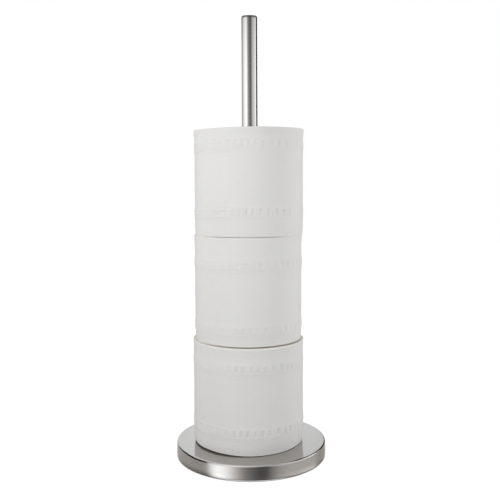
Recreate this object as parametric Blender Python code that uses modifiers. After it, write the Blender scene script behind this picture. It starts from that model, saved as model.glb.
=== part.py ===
"""Free-standing stand for spare toilet rolls, with three rolls stacked on its pole.

Frame: +Z up, origin on the floor at the centre of the round base, front of the object towards -Y.
Every size below is in millimetres and is turned into metres when a mesh is made.

How it is put together, from the floor up: a rubber foot ring sits in the underside of a plastic base plate.
The plate is held inside a drawn steel cover by the cover's turned-in lip. A cast iron disc fills the cover.
A screw comes up through washers, the iron disc and the cover into a threaded insert in the foot of the pole,
and clamps them together. A plug closes the pole's top. Each roll is a cardboard core with paper wound on it,
drops over the pole and rests on the base or on the roll below, so it lifts straight up and off.
"""
import math

import bmesh
import bpy
from mathutils import Matrix

MM = 0.001

# Base: a low round disc whose side band leans out a little towards the floor
BASE_DIAMETER = 150.0
BASE_TOP_DIAMETER = 148.6
BASE_HEIGHT = 14.9
COVER_WALL = 0.8
COVER_EDGE_RADIUS = 1.2
COVER_CURL_RADIUS = 1.0
COVER_LIP_REACH = 3.5
FOOT_STANDOFF = 0.5

# Foot ring and base plate
FOOT_RING_WIDTH = 14.0
FOOT_RING_HEIGHT = 1.3
FOOT_RING_CORNER = 0.4
PLATE_THICKNESS = 2.0
PLATE_RIB_WIDTH = 2.0
PLATE_HOLE_RADIUS = 15.0

# Pole: a thin-walled tube with a plug in its top
POLE_DIAMETER = 15.5
POLE_WALL = 0.9
STAND_HEIGHT = 433.0
CAP_HEAD = 2.4
CAP_CROWN = 0.35
CAP_EDGE_RADIUS = 0.9
CAP_SHANK = 9.0
CAP_WALL = 1.2
INSERT_LENGTH = 20.0
TURNED_CHAMFER = 0.3
WEIGHT_SHOULDER = 1.0

# M8 fixing set: button head screw, split spring washer, wide flat washer
SCREW_RADIUS = 3.9
SCREW_LENGTH = 25.0
SCREW_TIP_CHAMFER = 0.8
HEAD_RADIUS = 7.0
HEAD_HEIGHT = 4.4
HEAD_RIM = 0.6
HEAD_FLAT_RADIUS = 3.6
HEAD_FLOOR_GAP = 1.6
SOCKET_ACROSS_FLATS = 5.0
SOCKET_DEPTH = 2.6
SPRING_WASHER_RADIUS = 7.4
SPRING_WASHER_THICKNESS = 2.0
SPRING_WASHER_SPLIT = 1.0
SPRING_WASHER_SPLIT_ANGLE = math.radians(28)
FLAT_WASHER_RADIUS = 12.0
FLAT_WASHER_THICKNESS = 1.6
SCREW_HOLE_RADIUS = 4.4
COUNTERBORE_RADIUS = 13.0

# Rolls: name, outside radius, how far the loose roll stands off the pole's axis, which way its tail faces,
# and the heights on it of the two embossed bands, where the wound paper stands up a little
ROLLS = (
    ("lower_roll", 55.5, -2.2, math.radians(62), (81.8, 21.2)),
    ("middle_roll", 53.8, -2.0, math.radians(118), (76.1, 14.9)),
    ("upper_roll", 54.1, -1.0, math.radians(84), (87.0, 23.1)),
)
ROLL_HEIGHT = 101.8
BAND_HALF_WIDTH = 4.5
BAND_SWELL = 0.45
CORE_OUTER_RADIUS = 21.5
CORE_WALL = 0.9
CORE_RECESS = 0.5
PAPER_EDGE_RADIUS = 1.0
PAPER_PLY = 0.5
TAIL_STEP_ANGLE = math.radians(0.6)

# Clearance kept between pieces that touch, how far a cutter reaches past what it cuts, and the fineness of
# round shapes
GAP = 0.3
OVERCUT = 1.0
BASE_SEGMENTS = 64
ROLL_SEGMENTS = 48
SMALL_SEGMENTS = 28
SHARP_ANGLE = math.radians(35)
MERGE_DISTANCE = 0.00001

# Heights that follow from the sizes above
LIP_TOP = FOOT_STANDOFF + COVER_WALL
PLATE_BOTTOM = LIP_TOP + GAP
PLATE_TOP = PLATE_BOTTOM + PLATE_THICKNESS
WEIGHT_BOTTOM = PLATE_TOP + GAP
WEIGHT_TOP = BASE_HEIGHT - COVER_WALL - GAP
HEAD_TOP = HEAD_FLOOR_GAP + HEAD_HEIGHT
SPRING_WASHER_BOTTOM = HEAD_TOP + GAP
FLAT_WASHER_BOTTOM = SPRING_WASHER_BOTTOM + SPRING_WASHER_THICKNESS + GAP
COUNTERBORE_TOP = FLAT_WASHER_BOTTOM + FLAT_WASHER_THICKNESS + GAP
POLE_FOOT = BASE_HEIGHT + GAP
POLE_RADIUS = POLE_DIAMETER / 2
POLE_BORE_RADIUS = POLE_RADIUS - POLE_WALL
CAP_HEAD_BOTTOM = STAND_HEIGHT - CAP_HEAD
FOOT_RING_RADIUS = BASE_DIAMETER / 2 - COVER_LIP_REACH - COVER_WALL / 2

# Finishes: colour, roughness, metallic
FINISHES = {
    "satin_steel": ((0.62, 0.60, 0.58), 0.28, 1.0),
    "plated_steel": ((0.66, 0.66, 0.68), 0.35, 1.0),
    "cast_iron": ((0.14, 0.14, 0.15), 0.75, 0.9),
    "black_plastic": ((0.03, 0.03, 0.03), 0.5, 0.0),
    "black_rubber": ((0.02, 0.02, 0.02), 0.85, 0.0),
    "tissue": ((0.88, 0.88, 0.87), 0.9, 0.0),
    "core_board": ((0.55, 0.46, 0.35), 0.85, 0.0),
}


def clear_scene():
    for obj in list(bpy.data.objects):
        bpy.data.objects.remove(obj, do_unlink=True)


def new_collection(name):
    collection = bpy.data.collections.new(name)
    bpy.context.scene.collection.children.link(collection)
    return collection


def make_material(name, colour, roughness, metallic):
    material = bpy.data.materials.new(name)
    material.use_nodes = True
    shader = material.node_tree.nodes["Principled BSDF"]
    shader.inputs["Base Color"].default_value = (*colour, 1.0)
    shader.inputs["Roughness"].default_value = roughness
    shader.inputs["Metallic"].default_value = metallic
    return material


def arc(centre, radius, start, end, steps):
    """Points (r, z) on an arc about centre, from one angle to the other, in degrees from +r."""
    points = []
    for step in range(steps + 1):
        angle = math.radians(start + (end - start) * step / steps)
        points.append((centre[0] + radius * math.cos(angle), centre[1] + radius * math.sin(angle)))
    return points


def settle(obj):
    """Keeps the result of the modifiers as the object's mesh, smooth except along its real edges."""
    graph = bpy.context.evaluated_depsgraph_get()
    mesh = bpy.data.meshes.new_from_object(obj.evaluated_get(graph))
    obj.modifiers.clear()
    obj.data = mesh
    mesh.name = obj.name
    mesh.shade_smooth()
    mesh.set_sharp_from_angle(angle=SHARP_ANGLE)


def turned(name, profile, segments, finish, collection, closed=True, wall=0.0):
    """A shape turned about Z from (r, z) points, which run down its outer side.

    A closed profile that keeps off the axis gives a ring; an open one with a wall gives a shell of that
    thickness, inside the profile.
    """
    mesh = bpy.data.meshes.new(name)
    count = len(profile)
    edges = [(i, i + 1) for i in range(count - 1)]
    if closed:
        edges.append((count - 1, 0))
    mesh.from_pydata([(r * MM, 0.0, z * MM) for r, z in profile], edges, [])
    obj = bpy.data.objects.new(name, mesh)
    collection.objects.link(obj)
    screw = obj.modifiers.new("Turn", "SCREW")
    screw.axis = "Z"
    screw.angle = 2 * math.pi
    screw.steps = segments
    screw.render_steps = segments
    screw.use_merge_vertices = True
    screw.merge_threshold = MERGE_DISTANCE
    if wall:
        shell = obj.modifiers.new("Wall", "SOLIDIFY")
        shell.thickness = wall * MM
        shell.offset = -1.0
        shell.use_even_offset = True
    settle(obj)
    obj.data.materials.append(finish)
    return obj


def cut(obj, cutter):
    """Takes the cutter's shape out of the object."""
    cutter.hide_render = True
    cutter.display_type = "WIRE"
    boolean = obj.modifiers.new("Cut", "BOOLEAN")
    boolean.operation = "DIFFERENCE"
    boolean.solver = "EXACT"
    boolean.object = cutter
    settle(obj)


def prism(name, sides, across_flats, low, high, collection):
    """An upright prism on the Z axis, used as a cutter."""
    mesh = bmesh.new()
    radius = across_flats / 2 / math.cos(math.pi / sides)
    bmesh.ops.create_cone(
        mesh,
        cap_ends=True,
        segments=sides,
        radius1=radius * MM,
        radius2=radius * MM,
        depth=(high - low) * MM,
        matrix=Matrix.Translation((0, 0, (low + high) / 2 * MM)),
    )
    data = bpy.data.meshes.new(name)
    mesh.to_mesh(data)
    mesh.free()
    obj = bpy.data.objects.new(name, data)
    collection.objects.link(obj)
    return obj


def slit(name, size, place, tilt, collection):
    """A thin box, leaning about the X axis, used as a cutter."""
    mesh = bmesh.new()
    bmesh.ops.create_cube(mesh, size=1.0)
    bmesh.ops.scale(mesh, vec=[side * MM for side in size], verts=mesh.verts)
    bmesh.ops.rotate(mesh, matrix=Matrix.Rotation(tilt, 3, "X"), verts=mesh.verts)
    bmesh.ops.translate(mesh, vec=[step * MM for step in place], verts=mesh.verts)
    data = bpy.data.meshes.new(name)
    mesh.to_mesh(data)
    mesh.free()
    obj = bpy.data.objects.new(name, data)
    collection.objects.link(obj)
    return obj


def band_radius(z):
    """The cover's outside radius at a height on its leaning side band."""
    top = BASE_HEIGHT - COVER_EDGE_RADIUS
    bottom = FOOT_STANDOFF + COVER_CURL_RADIUS
    share = (z - bottom) / (top - bottom)
    return (BASE_DIAMETER + (BASE_TOP_DIAMETER - BASE_DIAMETER) * share) / 2


def base_cover(finishes, parts):
    """The drawn steel shell: flat top with the screw hole, rounded edge, leaning band, turned-in lip."""
    edge = BASE_TOP_DIAMETER / 2 - COVER_EDGE_RADIUS
    curl = BASE_DIAMETER / 2 - COVER_CURL_RADIUS
    profile = [(SCREW_HOLE_RADIUS, BASE_HEIGHT)]
    profile += arc((edge, BASE_HEIGHT - COVER_EDGE_RADIUS), COVER_EDGE_RADIUS, 90, 0, 3)
    profile += arc((curl, FOOT_STANDOFF + COVER_CURL_RADIUS), COVER_CURL_RADIUS, 0, -90, 2)
    profile.append((curl + COVER_CURL_RADIUS - COVER_LIP_REACH, FOOT_STANDOFF))
    steel = finishes["satin_steel"]
    turned("base_cover", profile, BASE_SEGMENTS, steel, parts, closed=False, wall=COVER_WALL)


def base_weight(finishes, parts):
    """The cast iron disc that fills the cover, counterbored from below for the washers and screw head."""
    inside = COVER_WALL + GAP
    shoulder = WEIGHT_SHOULDER
    profile = [
        (SCREW_HOLE_RADIUS, WEIGHT_TOP),
        (band_radius(WEIGHT_TOP) - inside - shoulder, WEIGHT_TOP),
        (band_radius(WEIGHT_TOP - shoulder) - inside, WEIGHT_TOP - shoulder),
        (band_radius(WEIGHT_BOTTOM) - inside, WEIGHT_BOTTOM),
        (COUNTERBORE_RADIUS, WEIGHT_BOTTOM),
        (COUNTERBORE_RADIUS, COUNTERBORE_TOP),
        (SCREW_HOLE_RADIUS, COUNTERBORE_TOP),
    ]
    turned("base_weight", profile, BASE_SEGMENTS, finishes["cast_iron"], parts)


def base_plate(finishes, parts):
    """The plastic plate that closes the underside, with a rib that centres the foot ring."""
    outside = band_radius(PLATE_BOTTOM) - COVER_WALL - GAP
    rib_outside = FOOT_RING_RADIUS - FOOT_RING_WIDTH - GAP
    rib_inside = rib_outside - PLATE_RIB_WIDTH
    profile = [
        (PLATE_HOLE_RADIUS, PLATE_TOP),
        (outside, PLATE_TOP),
        (outside, PLATE_BOTTOM),
        (rib_outside, PLATE_BOTTOM),
        (rib_outside, FOOT_STANDOFF),
        (rib_inside, FOOT_STANDOFF),
        (rib_inside, PLATE_BOTTOM),
        (PLATE_HOLE_RADIUS, PLATE_BOTTOM),
    ]
    turned("base_plate", profile, BASE_SEGMENTS, finishes["black_plastic"], parts)


def foot_ring(finishes, parts):
    """The rubber ring that stands on the floor, with bevelled corners."""
    corner = FOOT_RING_CORNER
    outside = FOOT_RING_RADIUS - corner
    inside = FOOT_RING_RADIUS - FOOT_RING_WIDTH + corner
    low = corner
    high = FOOT_RING_HEIGHT - corner
    profile = arc((outside, high), corner, 90, 0, 1)
    profile += arc((outside, low), corner, 0, -90, 1)
    profile += arc((inside, low), corner, -90, -180, 1)
    profile += arc((inside, high), corner, 180, 90, 1)
    turned("foot_ring", profile, BASE_SEGMENTS, finishes["black_rubber"], parts)


def pole_screw(finishes, parts, cutters):
    """The M8 button head screw, head down, with its hexagon socket."""
    tip = HEAD_TOP + SCREW_LENGTH
    rim = HEAD_TOP - HEAD_RIM
    profile = [
        (0.0, tip),
        (SCREW_RADIUS - SCREW_TIP_CHAMFER, tip),
        (SCREW_RADIUS, tip - SCREW_TIP_CHAMFER),
        (SCREW_RADIUS, HEAD_TOP),
        (HEAD_RADIUS, HEAD_TOP),
    ]
    # The dome of the head is a quarter of an ellipse, from its rim to the flat end round the socket
    for step in range(4):
        angle = math.radians(90) * step / 3
        reach = HEAD_FLAT_RADIUS + (HEAD_RADIUS - HEAD_FLAT_RADIUS) * math.cos(angle)
        profile.append((reach, rim - (rim - HEAD_FLOOR_GAP) * math.sin(angle)))
    profile.append((0.0, HEAD_FLOOR_GAP))
    screw = turned("pole_screw", profile, SMALL_SEGMENTS, finishes["plated_steel"], parts, closed=False)
    socket = prism(
        "screw_socket_cutter",
        6,
        SOCKET_ACROSS_FLATS,
        HEAD_FLOOR_GAP - OVERCUT,
        HEAD_FLOOR_GAP + SOCKET_DEPTH,
        cutters,
    )
    cut(screw, socket)


def washers(finishes, parts, cutters):
    """The split spring washer next to the screw head, and the wide flat washer under the iron disc."""
    bore = SCREW_RADIUS + GAP
    low = SPRING_WASHER_BOTTOM
    high = low + SPRING_WASHER_THICKNESS
    profile = [(bore, high), (SPRING_WASHER_RADIUS, high), (SPRING_WASHER_RADIUS, low), (bore, low)]
    spring = turned("spring_washer", profile, SMALL_SEGMENTS, finishes["plated_steel"], parts)
    width = SPRING_WASHER_RADIUS - bore + 2 * OVERCUT
    depth = SPRING_WASHER_THICKNESS + 4 * OVERCUT
    place = ((bore + SPRING_WASHER_RADIUS) / 2, 0.0, (low + high) / 2)
    size = (width, SPRING_WASHER_SPLIT, depth)
    cut(spring, slit("washer_split_cutter", size, place, SPRING_WASHER_SPLIT_ANGLE, cutters))

    low = FLAT_WASHER_BOTTOM
    high = low + FLAT_WASHER_THICKNESS
    profile = [(bore, high), (FLAT_WASHER_RADIUS, high), (FLAT_WASHER_RADIUS, low), (bore, low)]
    turned("flat_washer", profile, SMALL_SEGMENTS, finishes["plated_steel"], parts)


def pole(finishes, parts):
    """The tube, the threaded insert in its foot, and the crowned plug in its top."""
    top = CAP_HEAD_BOTTOM - GAP
    chamfer = TURNED_CHAMFER
    profile = [
        (POLE_BORE_RADIUS, top),
        (POLE_RADIUS, top),
        (POLE_RADIUS, POLE_FOOT + chamfer),
        (POLE_RADIUS - chamfer, POLE_FOOT),
        (POLE_BORE_RADIUS, POLE_FOOT),
    ]
    turned("pole_tube", profile, SMALL_SEGMENTS, finishes["satin_steel"], parts)

    low = POLE_FOOT + GAP
    high = low + INSERT_LENGTH
    bore = SCREW_RADIUS + GAP
    outside = POLE_BORE_RADIUS - GAP
    profile = [
        (bore, high),
        (outside - chamfer, high),
        (outside, high - chamfer),
        (outside, low),
        (bore, low),
    ]
    turned("pole_insert", profile, SMALL_SEGMENTS, finishes["plated_steel"], parts)

    edge = POLE_RADIUS - CAP_EDGE_RADIUS
    shank = POLE_BORE_RADIUS - GAP
    profile = [(0.0, STAND_HEIGHT), (edge / 2, STAND_HEIGHT - CAP_CROWN / 4)]
    profile += arc((edge, STAND_HEIGHT - CAP_CROWN - CAP_EDGE_RADIUS), CAP_EDGE_RADIUS, 90, 0, 4)
    profile += [
        (POLE_RADIUS, CAP_HEAD_BOTTOM),
        (shank, CAP_HEAD_BOTTOM),
        (shank, CAP_HEAD_BOTTOM - CAP_SHANK),
        (shank - CAP_WALL, CAP_HEAD_BOTTOM - CAP_SHANK),
        (shank - CAP_WALL, CAP_HEAD_BOTTOM),
        (0.0, CAP_HEAD_BOTTOM),
    ]
    turned("pole_cap", profile, SMALL_SEGMENTS, finishes["satin_steel"], parts, closed=False)


def wound_profile(radius, bands):
    """Half section of the wound paper: soft outer edges, and a slight swell at each embossed band."""
    side = radius - BAND_SWELL
    edge = side - PAPER_EDGE_RADIUS
    inside = CORE_OUTER_RADIUS + GAP
    profile = [(inside, ROLL_HEIGHT)]
    profile += arc((edge, ROLL_HEIGHT - PAPER_EDGE_RADIUS), PAPER_EDGE_RADIUS, 90, 0, 2)
    for band in bands:
        profile += [
            (side, band + BAND_HALF_WIDTH),
            (radius, band + BAND_HALF_WIDTH / 3),
            (radius, band - BAND_HALF_WIDTH / 3),
            (side, band - BAND_HALF_WIDTH),
        ]
    profile += arc((edge, PAPER_EDGE_RADIUS), PAPER_EDGE_RADIUS, 0, -90, 2)
    profile.append((inside, 0.0))
    return profile


def wind(obj, radius, tail_direction):
    """Turns the ring into a wound sheet: over one turn the outside drops by a ply and leaves the tail's step.

    The columns are spread evenly over the turn, apart from the last gap, which is the step itself.
    """
    inside = CORE_OUTER_RADIUS + GAP
    turn = 2 * math.pi
    column = turn / ROLL_SEGMENTS
    stretch = (turn - TAIL_STEP_ANGLE) / (turn - column)
    for vertex in obj.data.vertices:
        x, y, z = vertex.co / MM
        reach = math.hypot(x, y)
        along = round(math.atan2(y, x) / column) % ROLL_SEGMENTS * column * stretch
        depth = (reach - inside) / (radius - inside)
        reach -= PAPER_PLY * along / turn * depth
        angle = tail_direction + along
        vertex.co = (reach * math.cos(angle) * MM, reach * math.sin(angle) * MM, z * MM)


def roll(name, radius, offset, tail_direction, bands, height, carrier, finishes, parts):
    """One roll, its core and its paper, on an empty that stands on the axis along which the roll lifts."""
    handle = bpy.data.objects.new(name, None)
    parts.objects.link(handle)
    handle.parent = carrier
    handle.location = (offset * MM, 0.0, height * MM)

    bore = CORE_OUTER_RADIUS - CORE_WALL
    high = ROLL_HEIGHT - CORE_RECESS
    outside = CORE_OUTER_RADIUS
    profile = [(bore, high), (outside, high), (outside, CORE_RECESS), (bore, CORE_RECESS)]
    core = turned(name + "_core", profile, ROLL_SEGMENTS, finishes["core_board"], parts)

    profile = wound_profile(radius, bands)
    paper = turned(name + "_paper", profile, ROLL_SEGMENTS, finishes["tissue"], parts)
    wind(paper, radius, tail_direction)

    for piece in (core, paper):
        piece.parent = handle
    return handle


def rolls(finishes, parts):
    """The stack: each roll rests on the one below and is carried by it when that one is lifted."""
    height = BASE_HEIGHT + GAP
    carrier = None
    carrier_offset = 0.0
    for name, radius, offset, tail_direction, bands in ROLLS:
        step = offset - carrier_offset
        carrier = roll(name, radius, step, tail_direction, bands, height, carrier, finishes, parts)
        carrier_offset = offset
        height = ROLL_HEIGHT + GAP


def main():
    clear_scene()
    parts = new_collection("toilet_roll_stand")
    cutters = new_collection("cutters")
    finishes = {name: make_material(name, *look) for name, look in FINISHES.items()}
    base_cover(finishes, parts)
    base_weight(finishes, parts)
    base_plate(finishes, parts)
    foot_ring(finishes, parts)
    pole_screw(finishes, parts, cutters)
    washers(finishes, parts, cutters)
    pole(finishes, parts)
    rolls(finishes, parts)
    bpy.context.view_layer.update()


main()
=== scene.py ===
# %% [markdown]
# # A stand for spare toilet rolls
#
# The object is a weighted round base of brushed steel, an upright steel pole, and three white rolls dropped
# over the pole. Its shapes are simple, so its looks depend on the finish: satin metal that mirrors what
# stands round it, and soft paper with a row of embossed dashes near each end.
#
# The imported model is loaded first. It fixes every size and place.

# %% Load the frame
import math

import bpy
from mathutils import Matrix, Vector


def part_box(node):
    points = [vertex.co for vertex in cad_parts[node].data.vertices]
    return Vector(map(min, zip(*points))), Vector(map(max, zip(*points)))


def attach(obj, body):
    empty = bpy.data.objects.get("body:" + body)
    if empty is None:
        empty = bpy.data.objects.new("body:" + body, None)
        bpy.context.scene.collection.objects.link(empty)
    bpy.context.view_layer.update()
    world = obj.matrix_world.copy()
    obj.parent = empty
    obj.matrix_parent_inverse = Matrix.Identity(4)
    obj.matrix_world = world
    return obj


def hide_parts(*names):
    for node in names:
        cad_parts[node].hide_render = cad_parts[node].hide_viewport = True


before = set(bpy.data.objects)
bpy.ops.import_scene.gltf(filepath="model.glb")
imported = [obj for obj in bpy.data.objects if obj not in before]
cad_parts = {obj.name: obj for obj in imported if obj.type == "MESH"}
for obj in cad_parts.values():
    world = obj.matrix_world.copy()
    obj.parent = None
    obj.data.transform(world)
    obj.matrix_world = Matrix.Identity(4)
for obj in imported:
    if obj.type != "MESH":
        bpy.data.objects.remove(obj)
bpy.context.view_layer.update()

MM = 0.001
scene = bpy.context.scene


def new_object(name, data):
    obj = bpy.data.objects.new(name, data)
    scene.collection.objects.link(obj)
    return obj


# %% [markdown]
# ## The camera
#
# The photograph was taken from a little above the middle of the stand, looking down by a few degrees, from
# about two thirds of a metre away. The line between the upper rolls curves less than the line under the
# lowest one, which gives the height: a circle at the camera's own height shows as a straight line.

# %% Place the camera
PICTURE_WIDTH = 500
SENSOR_WIDTH = 36.0
FOCAL_PIXELS = 654.35
CAMERA_DISTANCE = 0.6505
CAMERA_HEIGHT = 0.2462
CAMERA_PITCH = 0.0630
CAMERA_ROLL = -0.0048
CAMERA_YAW = 0.0004

camera_data = bpy.data.cameras.new("camera")
camera = new_object("camera", camera_data)
camera_data.sensor_width = SENSOR_WIDTH
camera_data.lens = FOCAL_PIXELS / PICTURE_WIDTH * SENSOR_WIDTH
camera.matrix_world = (
    Matrix.Translation((0.0, -CAMERA_DISTANCE, CAMERA_HEIGHT))
    @ Matrix.Rotation(CAMERA_YAW, 4, "Z")
    @ Matrix.Rotation(math.pi / 2 - CAMERA_PITCH, 4, "X")
    @ Matrix.Rotation(CAMERA_ROLL, 4, "Z")
)
scene.camera = camera
scene.view_settings.view_transform = "Standard"
print("lens:", round(camera_data.lens, 1), "mm")

# %% [markdown]
# ## Sizes read from the frame
#
# Each size comes from its node's box, so the looks follow the construction if that changes.

# %% Read the sizes
def turned_size(node):
    """The radius, lowest point and highest point of a node that is round about the pole's axis."""
    low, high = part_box(node)
    return high[0], low[2], high[2]


BASE_RADIUS, BAND_FOOT, BASE_TOP = turned_size("base_cover")
POLE_RADIUS, POLE_FOOT, TUBE_TOP = turned_size("pole_tube")
PLATE_RADIUS, PLATE_LOW, PLATE_TOP = turned_size("base_plate")
RING_RADIUS, _, RING_TOP = turned_size("foot_ring")
STAND_TOP = turned_size("pole_cap")[2]
ROLL_NAMES = ("lower_roll", "middle_roll", "upper_roll")
GAP = 0.3 * MM


def roll_measures(name):
    """A roll's axis, outside radius, core radius, lowest point and height."""
    core_low, core_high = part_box(name + "_core")
    low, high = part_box(name + "_paper")
    axis = (core_low[0] + core_high[0]) / 2
    radius = max(axis - low[0], high[0] - axis, -low[1], high[1])
    return axis, radius, (core_high[0] - core_low[0]) / 2, low[2], high[2] - low[2]


for roll_name in ROLL_NAMES:
    print(roll_name, [round(value / MM, 1) for value in roll_measures(roll_name)], "mm")

# %% [markdown]
# ## Writing node trees as sums
#
# A node tree is easier to read as arithmetic than as links. `Wire` wraps one socket: sums and products of
# wires add Math nodes. `Board` wraps a tree, and its method `node` adds any other node, from its type, what
# goes into its sockets and its settings. Both serve shader trees and Geometry Nodes.

# %% Node helpers
class Wire:
    """One output socket. Arithmetic on wires and numbers adds Math nodes to the tree."""

    def __init__(self, board, socket):
        self.board = board
        self.socket = socket

    def math(self, operation, *others):
        return self.board.node("ShaderNodeMath", [self, *others], operation=operation)[0]

    def __add__(self, other):
        return self.math("ADD", other)

    def __mul__(self, other):
        return self.math("MULTIPLY", other)

    def __sub__(self, other):
        return self.math("SUBTRACT", other)

    def __rsub__(self, other):
        return self.board.node("ShaderNodeMath", [other, self], operation="SUBTRACT")[0]

    def __truediv__(self, other):
        return self.math("DIVIDE", other)

    __radd__ = __add__
    __rmul__ = __mul__

    def rise(self, start, end):
        """0 before start, 1 after end, smooth between them."""
        values = {"Value": self, "From Min": start, "From Max": end}
        return self.board.node("ShaderNodeMapRange", values, interpolation_type="SMOOTHSTEP")["Result"]

    def pulse(self, half, soft):
        """1 within half of zero, falling to 0 over a soft edge."""
        return 1.0 - self.math("ABSOLUTE").rise(half - soft, half + soft)


class Board:
    """A node tree to write on."""

    def __init__(self, tree):
        self.tree = tree

    def node(self, kind, sockets=(), **settings):
        """Adds a node and gives its outputs as wires, by number and by name."""
        made = self.tree.nodes.new(kind)
        for key, value in settings.items():
            if key == "stops":
                self.set_stops(made.color_ramp, value)
            else:
                setattr(made, key, value)
        pairs = sockets.items() if isinstance(sockets, dict) else enumerate(sockets)
        for key, value in pairs:
            self.feed(made.inputs[key], value)
        wires = [Wire(self, output) for output in made.outputs]
        return dict(enumerate(wires)) | {wire.socket.name: wire for wire in wires}

    def feed(self, socket, value):
        if isinstance(value, Wire):
            self.tree.links.new(value.socket, socket)
        elif isinstance(value, tuple) and len(value) == 3 and socket.type == "RGBA":
            socket.default_value = (*value, 1.0)
        else:
            socket.default_value = value

    def set_stops(self, ramp, stops):
        while len(ramp.elements) < len(stops):
            ramp.elements.new(1.0)
        for element, (place, level) in zip(ramp.elements, stops):
            element.position = place
            element.color = (level, level, level, 1.0)

    def object_place(self):
        """The shaded point in the object's own coordinates."""
        return self.node("ShaderNodeTexCoord")["Object"]

    def stored(self, name):
        return self.node("ShaderNodeAttribute", attribute_name=name)

    def parts(self, vector):
        split = self.node("ShaderNodeSeparateXYZ", [vector])
        return split["X"], split["Y"], split["Z"]

    def vector(self, x, y, z):
        return self.node("ShaderNodeCombineXYZ", [x, y, z])[0]

    def grey(self, level):
        return self.node("ShaderNodeCombineColor", [level] * 3)[0]

    def noise(self, place, scale, detail=2.0, roughness=0.5):
        """Smooth noise, roughly from -0.5 to 0.5. The scale is its number of lumps to a unit."""
        values = {"Vector": place, "Scale": scale, "Detail": detail, "Roughness": roughness}
        return self.node("ShaderNodeTexNoise", values)[0] - 0.5

    def blend(self, factor, first, second, how="MIX"):
        values = {0: factor, 6: first, 7: second}
        return self.node("ShaderNodeMix", values, data_type="RGBA", blend_type=how)[2]


class Finish(Board):
    """The board of a new material, with its Principled shader."""

    def __init__(self, name):
        self.material = bpy.data.materials.new(name)
        self.material.use_nodes = True
        super().__init__(self.material.node_tree)
        self.shader = self.tree.nodes["Principled BSDF"]

    def coat(self, colour, roughness, metallic=0.0):
        self.feed(self.shader.inputs["Base Color"], colour)
        self.feed(self.shader.inputs["Roughness"], roughness)
        self.shader.inputs["Metallic"].default_value = metallic

    def bump(self, height, distance, strength):
        values = {"Height": height, "Distance": distance, "Strength": strength}
        self.feed(self.shader.inputs["Normal"], self.node("ShaderNodeBump", values)[0])


def from_axis(x, y):
    """The distance from the pole's axis."""
    return (x * x + y * y).math("SQRT")


# %% [markdown]
# ## Turned shapes
#
# Base, foot, pole and plug are half sections turned about the pole's axis. A section runs down the outer
# side, so that the faces point outwards. The turned mesh replaces the plainer solid of the construction:
# its rounds are finer, so that the metal mirrors smoothly.

# %% Lathe helper
FINE_TURN = 256
SMALL_TURN = 128
MERGE_WITHIN = 0.005 * MM


def on_circle(centre, radius, degrees):
    angle = math.radians(degrees)
    return centre[0] + radius * math.cos(angle), centre[1] + radius * math.sin(angle)


def arc(centre, radius, start, end, steps):
    """Points (r, z) on an arc about centre, between two angles in degrees from +r."""
    return [on_circle(centre, radius, start + (end - start) * step / steps) for step in range(steps + 1)]


def rounded_section(inner, outer, low, high, small, steps, sole=()):
    """A ring's section with rounded corners, and what its lower side has between them."""
    out = outer - small
    into = inner + small
    section = arc((out, high - small), small, 90, 0, steps) + arc((out, low + small), small, 0, -90, steps)
    section += [*sole, *arc((into, low + small), small, -90, -180, steps)]
    return section + arc((into, high - small), small, 180, 90, steps)


def plain_mesh(obj, name):
    """Replaces the object's modifiers by the mesh that they make."""
    graph = bpy.context.evaluated_depsgraph_get()
    mesh = bpy.data.meshes.new_from_object(obj.evaluated_get(graph))
    obj.modifiers.clear()
    obj.data = mesh
    mesh.name = name


def mesh_object(name, points, edges, faces):
    mesh = bpy.data.meshes.new(name)
    mesh.from_pydata(points, edges, faces)
    return new_object(name, mesh)


def profile_object(name, profile, closed=True):
    """An object whose mesh is the bare half section in the XZ plane."""
    count = len(profile)
    edges = [(i, i + 1) for i in range(count - 1)]
    if closed:
        edges.append((count - 1, 0))
    return mesh_object(name, [(r, 0.0, z) for r, z in profile], edges, [])


def add_turn(obj, steps):
    turn = obj.modifiers.new("Turn", "SCREW")
    turn.axis = "Z"
    turn.steps = steps
    turn.render_steps = steps
    turn.use_merge_vertices = True
    turn.merge_threshold = MERGE_WITHIN


def lathe(name, profile, steps, finish, closed=True, sharp=32):
    obj = profile_object(name, profile, closed)
    add_turn(obj, steps)
    plain_mesh(obj, name)
    obj.data.shade_smooth()
    obj.data.set_sharp_from_angle(angle=math.radians(sharp))
    obj.data.materials.append(finish)
    print(name, len(obj.data.polygons), "faces")
    return obj


def dress(piece, body, slot, *nodes):
    """Hands a finished piece to the frame: what it rides on and the nodes that it stands for. The slot is
    not used.
    """
    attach(piece, body)
    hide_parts(*nodes)


# %% [markdown]
# ## Satin steel
#
# All visible metal is stainless steel, polished and then brushed. Brushing leaves hair lines: across them
# the metal scatters, along them it still mirrors. Cycles has that as anisotropy, a constant on the shader,
# whose direction runs round the middle of the mesh's texture space. Pole and band are brushed round their
# axis. The flat top is ground straight across, so its texture space lies far behind it, and there the
# direction is straight. The hair lines themselves are noise, stretched along the brushing, and stir the
# roughness and a slight bump.

# %% Steel finish
STEEL = (0.60, 0.592, 0.575)
GROUND_STEEL = (0.535, 0.517, 0.493)
DARKER_LINE = 0.92
FINE_LINE = 0.25 * MM
BROAD_LINE = 1.4 * MM
MICRON = 0.001 * MM
ROUND_THE_AXIS = 0.25


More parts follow.
